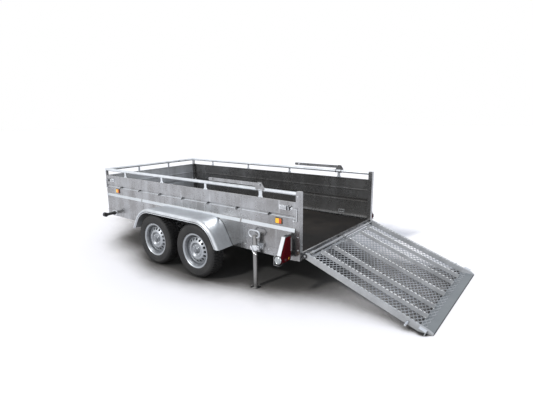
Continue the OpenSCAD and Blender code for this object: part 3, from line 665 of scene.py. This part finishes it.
def ramp_bright_parts():
    """The side pins, rubbed bright, and the tops of the lifting lugs, lighter as a painted
    highlight of the sky.
    """
    mesh = bmesh.new()
    for side in SIDES:
        # each pin is bare between its sleeve and its end, where the raised stay bar sits
        for profile in ([(0, 0), (0.0085, 0), (0.0085, 0.0555), (0.0079, 0.0560), (0, 0.0560)],
                        [(0, 0.0688), (0.0080, 0.0688), (0.0080, 0.0694), (0.0066, 0.0704),
                         (0, 0.0706)]):
            lathe(mesh, profile, ramp_point(PIN_DOWN, side * PIN_OUT, 0.0), (0, side, 0), 28)
        solids(mesh, [pad(lambda s, y, up: ramp_point(s, side * y, up), (1.0765, 0.7235),
                          (1.1355, 0.7643), ((0.0235, 0.0), (0.0257, 0.0012)))])
    piece("ramp_bright_parts", mesh, "ramp", "bright_zinc", look="bright_bar")


# ---------------------------------------------------------------- mudguards

GUARD_MIDDLE = 1.438       # midway between the axles, from the rear posts
GUARD_EDGE = 1.0495        # middle of the trailer to the outermost face of a mudguard
GUARD_WIDTH = 1.050 - HALF
# the way from the crown (0) to the end (1): flat, then bent, then sloping straight down
GUARD_FLAT, GUARD_BEND = 0.42, 0.80
GUARD_RISE = math.radians(61)
GUARD_WAYS = [k / 10 * GUARD_FLAT for k in range(10)] + [
    GUARD_FLAT + k / 22 * (GUARD_BEND - GUARD_FLAT) for k in range(22)] + [
    GUARD_BEND + k / 8 * (1 - GUARD_BEND) for k in range(9)]
# the beaded lip: distance in from the outermost face, and height over or under the crown
GUARD_LIP = [(0.0300 * (1 - math.sin(t * math.pi / 16)), 0.0170 * (math.cos(t * math.pi / 16) - 1))
             for t in range(9)] + [
    (0.0020, -0.0182), (0.0030, -0.0195), (0.0016, -0.0212), (-0.0018, -0.0232),
    (-0.0032, -0.0252), (-0.0028, -0.0280), (-0.0008, -0.0302), (0.0028, -0.0320),
    (0.0050, -0.0335), (0.0030, -0.0352), (-0.0010, -0.0372), (-0.0033, -0.0395),
    (-0.0032, -0.0425), (-0.0012, -0.0452), (0.0030, -0.0466), (0.0070, -0.0460)]
# the rib of the side sheet: height, and distance out from the sheet
RIB = [(0.5974, 0.0), (0.6025, 0.0145), (0.6035, 0.0145), (0.6365, 0.0045), (0.6460, 0.0)]


def rib_proud(z):
    """How far the rib of the side sheet stands out at a height."""
    for (z1, p1), (z2, p2) in zip(RIB, RIB[1:]):
        if z1 <= z <= z2:
            return p1 + (p2 - p1) * (z - z1) / (z2 - z1)
    return 0.0


def guard_place(along, y, grow):
    """Distance from the middle and height of a mudguard, grow out from its surface."""
    f = (y - HALF) / GUARD_WIDTH
    start, r, high = 0.345 + 0.027 * f, 0.215 + 0.085 * f + grow, 0.405 - 0.078 * f
    if along < GUARD_FLAT:
        return start * along / GUARD_FLAT, high + r
    if along < GUARD_BEND:
        a = GUARD_RISE * (along - GUARD_FLAT) / (GUARD_BEND - GUARD_FLAT)
        return start + r * math.sin(a), high + r * math.cos(a)
    x, z = start + r * math.sin(GUARD_RISE), high + r * math.cos(GUARD_RISE)
    drop = (z - 0.336 - 0.030 * f) * (along - GUARD_BEND) / (1 - GUARD_BEND)
    return x + drop / math.tan(GUARD_RISE), z - drop


def guard_point(end, side, along, y, grow=0.0):
    """A place on a mudguard; end is 1 for its front half and -1 for its rear half."""
    x, z = guard_place(along, y, grow)
    return at_post(GUARD_MIDDLE + end * x, side * y, z)


def mudguard_shells():
    ways = [-along for along in reversed(GUARD_WAYS[1:])] + GUARD_WAYS
    rows = [("sheet", k / 14) for k in range(14)] + [("lip", spot) for spot in GUARD_LIP]
    for hand, side in HANDS:
        mesh = bmesh.new()
        grid = bmesh.ops.create_grid(mesh, x_segments=len(ways) - 1, y_segments=len(rows) - 1,
                                     size=1.0)
        for corner in grid["verts"]:
            along = ways[round((corner.co.x + 1) / 2 * (len(ways) - 1))]
            kind, spot = rows[round((corner.co.y + 1) / 2 * (len(rows) - 1))]
            if kind == "sheet":
                # the inner edge follows the side sheet and its rib
                inner = HALF + 0.0004 + rib_proud(guard_place(abs(along), HALF, 0.0)[1])
                y, grow = inner + (GUARD_EDGE - 0.0300 - inner) * spot, 0.0
            else:
                y, grow = GUARD_EDGE - spot[0], spot[1]
            corner.co = guard_point(math.copysign(1, along), side, abs(along), y, grow)
        bmesh.ops.recalc_face_normals(mesh, faces=mesh.faces)
        top = max(mesh.faces, key=lambda face: face.calc_center_median().z)
        if top.normal.z < 0:
            bmesh.ops.reverse_faces(mesh, faces=mesh.faces)
        bmesh.ops.solidify(mesh, geom=mesh.faces[:], thickness=0.0016)
        for end in (1, -1):
            # the rolled end of the sheet
            a = guard_point(end, side, 0.998, HALF + 0.001)
            b = guard_point(end, side, 0.998, GUARD_EDGE - 0.016) - Vector((0, 0, 0.001))
            long = (b - a).length
            lathe(mesh, [(0, 0), (0.0026, 0.0004), (0.0026, long - 0.0004), (0, long)],
                  a, b - a, 12)
        made = piece("mudguard_" + hand + "_shell", mesh, "chassis", "galvanised_steel",
                     angle=60, look="pressed_zinc")
        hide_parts("mudguard_" + hand)


def mudguard_seams():
    """A dark strip along the line where each mudguard meets the side sheet."""
    first, reach, count, tall = 0.50, 0.495, 24, 0.0035
    shapes = []
    for side in SIDES:
        for end in (1, -1):
            for k in range(count):
                start, stop = first + k / count * reach, first + (k + 1.02) / count * reach
                spots = [guard_place(along, HALF, up) for along, up in
                         ((start, 0.0), (start, tall), (stop, tall), (stop, 0.0))]
                shapes.append([[at_post(GUARD_MIDDLE + end * x, side * (HALF + out), z)
                                for x, z in spots] for out in (-0.0005, 0.0022)])
    mesh = bmesh.new()
    solids(mesh, shapes)
    piece("mudguard_seams", mesh, "chassis", "black_rubber", angle=20)


def mudguard_groove_shade():
    """A dark strip in the groove between the two beads of the lip: painted shade."""
    high, low = -0.0292, -0.0378
    shapes = [[[guard_point(end, side, along, y, level) for along, level in
                ((start, high), (stop, high), (stop, low), (start, low))]
               for y in (GUARD_EDGE - 0.0052, GUARD_EDGE + 0.0008)]
              for side in SIDES for end in (1, -1)
              for start, stop in zip(GUARD_WAYS, GUARD_WAYS[1:])]
    mesh = bmesh.new()
    solids(mesh, shapes)
    piece("mudguard_groove_shade", mesh, "chassis", "black_rubber", angle=20, look="painted_groove_shade")


# ---------------------------------------------------------------- body, lamps and latches

LATCHES = ((0.098, 1), (3.010, -1))     # rear and front end of a side, and the way inward


def body_bolts():
    mesh = bmesh.new()
    for side in SIDES:
        out = (0, side, 0)
        for x, z in ((0.024, 0.926), (0.022, 0.560), (0.022, 0.440), (0.348, 0.387),
                     (0.640, 0.387), (2.310, 0.387), (2.700, 0.387)):
            hex_bolt(mesh, at_post(x, side * HALF, z), out, 0.0075)
        # bolts that hold the uprights of the top rail to the side
        for x in (0.444, 1.180, 1.905, 2.635):
            hex_bolt(mesh, at_post(x, side * 0.7715, 0.8785), out, 0.006)
    piece("body_bolts", mesh, "chassis", "bright_zinc")


def sheet_overlaps():
    """Bottom flanges that sit on the side rails, and overlaps between lengths of sheet."""
    wide, thin = 0.020, 0.0011
    strips = [((x1, 0.4135), (x2, 0.4185), 0.0016) for x1, x2 in ((0.046, 0.805), (2.072, 3.058))]
    for x in (0.670, 1.088, 2.287):
        strips += [((x, z1), (x + wide, z2), thin) for z1, z2 in
                   ((0.7540, 0.8690), (0.6560, 0.7220))]
    strips += [((x, 0.4190), (x + wide, 0.5960), thin) for x in (0.670, 2.287)]
    mesh = bmesh.new()
    solids(mesh, [pad(on_side(side), low, high, ((-0.001, 0.0), (proud, 0.0006)))
                  for side in SIDES for low, high, proud in strips])
    piece("sheet_overlaps", mesh, "chassis", "galvanised_steel", angle=20)


def rib_highlight_faces():
    """Lighter faces on the rib and on the groove's lower lip: a painted highlight where these
    faces catch the sky.
    """
    # each face by its two long edges: how far out, and how high
    faces = (((0.0147, 0.6040), (0.0048, 0.6360)), ((0.0004, 0.7256), (-0.0052, 0.7306)))
    shapes = [[[at_post(x, side * (HALF + out + up), z) for x, out, z in
                ((x1, y1, z1), (x2, y1, z1), (x2, y2, z2), (x1, y2, z2))]
               for up in (-0.0010, 0.0005)]
              for side in SIDES for x1, x2 in ((0.048, 0.670), (0.690, 2.287), (2.307, 3.052))
              for (y1, z1), (y2, z2) in faces]
    mesh = bmesh.new()
    solids(mesh, shapes)
    piece("rib_highlight_faces", mesh, "chassis", "galvanised_steel", angle=20, look="sky_highlight_zinc")


def lens_details():
    """The redder rear halves of the side reflectors, and the rings of the clear markers."""
    halves, rims, rings = bmesh.new(), bmesh.new(), bmesh.new()
    for side in SIDES:
        for x in (0.227, 2.820):
            solids(halves, [pad(on_side(side), (x - 0.0320, 0.6610), (x - 0.0065, 0.7050),
                                ((0.0092, 0.0), (0.0108, 0.001)))])
        spot = at_post(0.091, side * 0.973, 0.392)
        lathe(rims, [(0.0298, 0.0005), (0.0318, 0.0010), (0.0318, 0.0115), (0.0300, 0.0130),
                     (0.0285, 0.0121)], spot, (0, side, 0), 56)
        for k in range(6):
            r = 0.0032 + 0.0034 * k
            lathe(rings, [(r, 0.0168), (r + 0.0010, 0.0184), (r + 0.0021, 0.0168)], spot,
                  (0, side, 0), 48)
    piece("reflector_halves", halves, "chassis", "amber_lens", angle=20, look="deep_amber")
    piece("marker_rims", rims, "chassis", "bright_zinc")
    piece("marker_lens_rings", rings, "chassis", "clear_lens", angle=20)


def lens_edges(z):
    """Inner and outer edge of the red lens at a height, inside its moulded border."""
    border, bend, top = 0.0085, 0.386, 0.577
    inner, outer, outer_top = 0.817 + border, 0.973 - border, 0.883
    if z >= bend:
        outer -= (z - bend) / (top - bend) * (0.973 - outer_top)
    return inner, outer


def lamp_facets():
    """Small cube corners pressed into the red lens, with the small windows at its foot."""
    pitch = 0.0062
    red, dark, amber = [], [], []
    for side in SIDES:
        z = 0.368
        while z < 0.566:
            y, far = lens_edges(z)
            while y + pitch < far - 0.003:
                at_foot = 0.372 < z < 0.392
                group = red
                if at_foot and 0.846 < y < 0.862:
                    group = amber
                elif at_foot and 0.890 < y < 0.915:
                    group = dark
                group.append([[at_post(x, side * (y + (0.5 + u * wide) * pitch),
                                       z + (0.5 + v * wide) * pitch)
                               for u, v in ((-1, -1), (1, -1), (1, 1), (-1, 1))]
                              for x, wide in ((0.0632, 0.45), (0.0616, 0.06))])
                y += pitch
            z += pitch
    fields = []
    for shapes in (red, dark, amber):
        fields.append(bmesh.new())
        solids(fields[-1], shapes)
    for side in SIDES:
        # screws at the ends of the lens
        for y, z in ((0.838, 0.560), (0.955, 0.369)):
            lathe(fields[1], [(0.0042, 0), (0.0042, 0.0016), (0.0034, 0.0022),
                              (0.0012, 0.0018), (0, 0.0012)],
                  at_post(0.0632, side * y, z), (-1, 0, 0), 20)
    for name, mesh, material_slot in zip(
            ("lens_cubes", "lens_dark_field", "lens_amber_field"), fields,
            ("lamp_red", "black_plastic", "amber_lens")):
        piece(name, mesh, "chassis", material_slot, angle=10)


def latch_rollers():
    """The dark toggles of the side latches, and the pins they turn on."""
    toggles, pins = bmesh.new(), bmesh.new()
    for side in SIDES:
        for x, way in LATCHES:
            for step in (0.004, 0.030):
                lathe(toggles, [(0, 0), (0.0062, 0), (0.0070, 0.0015), (0.0070, 0.0325),
                                (0.0062, 0.0340), (0, 0.0340)],
                      at_post(x + way * step, side * 0.7935, 0.7985), (0, 0, 1), 20)
            for step in (0.050, 0.068, 0.086, 0.104):
                lathe(pins, [(0.0034, 0), (0.0034, 0.0012), (0.0022, 0.0024), (0, 0.0026)],
                      at_post(x + way * step, side * 0.7888, 0.8310), (0, side, 0), 16)
    piece("latch_toggles", toggles, "chassis", "black_plastic")
    piece("latch_rivets", pins, "chassis", "bright_zinc")


def latch_groove_shade():
    """Dark strips along the face of each side latch: painted shade of its grooves."""
    mesh = bmesh.new()
    solids(mesh, [pad(on_side(side), (x + way * 0.040, low), (x + way * 0.106, high),
                      ((0.0155, 0.0), (0.0166, 0.0)))
                  for side in SIDES for x, way in LATCHES
                  for low, high in ((0.8062, 0.8102), (0.8170, 0.8206))])
    piece("latch_groove_shade", mesh, "chassis", "black_plastic", angle=20, look="painted_groove_shade")


def ring_handles():
    """The bent bar on the top of each prop stand: two half turns and two straight lengths."""
    turn = 0.0320
    for hand, side in HANDS:
        mesh = bmesh.new()
        middle = at_post(0.478, side * 0.830, 0.528)
        start = Matrix.Translation(middle + Vector((turn, 0, -turn))) @ Matrix.Rotation(
            math.pi / 2, 4, "Y")
        spots = bmesh.ops.create_circle(mesh, segments=16, radius=0.0072, matrix=start)["verts"]
        edges = list({edge for spot in spots for edge in spot.link_edges})
        for way in (1, -1):
            last = bmesh.ops.spin(mesh, geom=list(spots) + edges,
                                  cent=middle + Vector((way * turn, 0, 0)), axis=(0, -1, 0),
                                  angle=math.pi, steps=24)["geom_last"]
            edges = [part for part in last if isinstance(part, bmesh.types.BMEdge)]
            pulled = bmesh.ops.extrude_edge_only(mesh, edges=edges)["geom"]
            spots = [part for part in pulled if isinstance(part, bmesh.types.BMVert)]
            edges = [part for part in pulled if isinstance(part, bmesh.types.BMEdge)
                     and all(spot in spots for spot in part.verts)]
            bmesh.ops.translate(mesh, verts=spots, vec=(-2 * way * turn, 0, 0))
        bmesh.ops.remove_doubles(mesh, verts=mesh.verts[:], dist=1e-5)
        piece("ring_handle_" + hand, mesh, "stand_" + hand, "bright_zinc", angle=60,
              look="bright_bar")


def lamp_guard_faces():
    """The smooth bright face of the guard on the sloping side of each tail lamp."""
    (y_low, z_low), (y_high, z_high) = (0.9592, 0.4260), (0.8880, 0.5795)
    mesh = bmesh.new()
    for side in SIDES:
        out = Vector((0, side * (z_high - z_low), y_low - y_high)).normalized()
        face = [at_post(x, side * y, z) for x, y, z in
                ((0.0785, y_low, z_low), (0.1155, y_low, z_low), (0.1155, y_high, z_high),
                 (0.0785, y_high, z_high))]
        solids(mesh, [(face, [spot + out * 0.0007 for spot in face])])
    piece("lamp_guard_faces", mesh, "chassis", "bright_zinc", angle=20, look="pale_face")


for name, (x, side) in WHEELS.items():
    tyre_piece(name, x, side)
    wheel_details(name, x, side)
for make in (drum_faces, expanded_mesh, tread_teeth, ramp_tip_edge, ramp_welds,
             ramp_bright_parts, mudguard_shells, mudguard_seams, mudguard_groove_shade, body_bolts,
             sheet_overlaps, rib_highlight_faces, lens_details, lamp_facets, latch_rollers,
             latch_groove_shade, ring_handles, lamp_guard_faces):
    make()


# ---------------------------------------------------------------- stage, light, camera

def shown_background(tree):
    """1 for the rays that show the background: seen directly, in gloss or through glass."""
    path = tree.nodes.new("ShaderNodeLightPath").outputs
    direct = calc(tree, "MAXIMUM", path["Is Camera Ray"], path["Is Glossy Ray"])
    return calc(tree, "MAXIMUM", direct, path["Is Transmission Ray"])


def studio_floor():
    """White where it is seen, with painted shade under and near the trailer, and a dull brownish
    yard, with painted sun and shade, in the light that it throws back.
    """
    floor = bmesh.new()
    bmesh.ops.create_grid(floor, x_segments=1, y_segments=1, size=60)
    data = bpy.data.meshes.new("studio_floor")
    floor.to_mesh(data)
    floor.free()
    ground = bpy.data.objects.new("studio_floor", data)
    ground.location.z = -0.0015
    bpy.context.scene.collection.objects.link(ground)
    pale, tree, shader = finish("pale_floor", Roughness=0.95)
    parts = split(tree, places(tree)["Object"])
    across = calc(tree, "MULTIPLY_ADD", parts["X"], 0.5, parts["Y"])
    # the yard is lighter towards the front and left as painted sunlit ground, and darker towards
    # the rear and right as painted shade
    yard = ramp(tree, [(0.0, (0.060, 0.056, 0.052)), (1.0, (0.38, 0.355, 0.32))],
                soft_span(tree, across, -1.6, 1.4))
    # painted shade: the white floor's colour darkens where something stands or hangs close over it
    open_sky = add(tree, "ShaderNodeAmbientOcclusion", samples=16, Distance=0.8)
    white = ramp(tree, [(0.0, (0.02, 0.02, 0.02)), (0.42, (0.035, 0.033, 0.030)),
                        (0.58, (0.11, 0.10, 0.09)), (0.67, (0.42, 0.40, 0.38)),
                        (0.79, (0.82, 0.78, 0.75))], open_sky.outputs["AO"])
    tone = add(tree, "ShaderNodeMix", data_type="RGBA", Factor=shown_background(tree), A=yard,
               B=white)
    feed(tree, shader, Base_Color=tone.outputs["Result"])
    data.materials.append(pale)


def studio_light():
    """A pale sky over a dull yard, shown as white, and the low sun of the photograph."""
    world = bpy.data.worlds.new("studio")
    bpy.context.scene.world = world
    world.use_nodes = True
    tree = world.node_tree
    sky = ramp(tree, [(0.0, (1.20, 1.20, 1.18)), (0.30, (1.24, 1.27, 1.32)),
                      (0.60, (0.98, 1.06, 1.20)), (1.0, (0.50, 0.60, 0.80))],
               split(tree, places(tree)["Generated"])["Z"])
    back = tree.nodes["Background"]
    feed(tree, back, Color=sky, Strength=1.0)
    seen = add(tree, "ShaderNodeBackground", Color=(1, 1, 1, 1), Strength=1.0)
    mix = tree.nodes.new("ShaderNodeMixShader")
    for source, socket in zip((shown_background(tree), back.outputs[0], seen.outputs[0]),
                              mix.inputs):
        join(tree, source, socket)
    feed(tree, tree.nodes["World Output"], Surface=mix.outputs[0])

    sun = bpy.data.lights.new("sun", "SUN")
    sun.energy = 2.3
    sun.angle = math.radians(6)
    lamp = bpy.data.objects.new("sun", sun)
    lamp.rotation_euler = Vector((-0.175, -1.0, -0.796)).to_track_quat("-Z", "Y").to_euler()
    bpy.context.scene.collection.objects.link(lamp)


def photo_camera():
    """The camera of the photograph, found from about 40 of its points."""
    lens = bpy.data.cameras.new("photo_camera")
    lens.sensor_width = 36
    lens.sensor_fit = "HORIZONTAL"
    lens.lens = 36 * 393.9 / 533        # focal length over width, both in pixels
    lens.clip_end = 200
    view = bpy.data.objects.new("photo_camera", lens)
    bpy.context.scene.collection.objects.link(view)
    yaw, pitch, roll = math.radians(-51.88), math.radians(11.87), math.radians(-0.69)
    forward = Vector((math.cos(yaw) * math.cos(pitch), math.sin(yaw) * math.cos(pitch),
                      -math.sin(pitch)))
    level = Vector((math.sin(yaw), -math.cos(yaw), 0))
    upright = level.cross(forward)
    right = math.cos(roll) * level + math.sin(roll) * upright
    up = math.cos(roll) * upright - math.sin(roll) * level
    turn = Matrix((right, up, -forward)).transposed().to_4x4()
    view.matrix_world = Matrix.Translation(at_post(-1.814, 3.556, 1.599)) @ turn
    bpy.context.scene.camera = view


studio_floor()
studio_light()
photo_camera()
bpy.context.scene.view_settings.view_transform = "Standard"
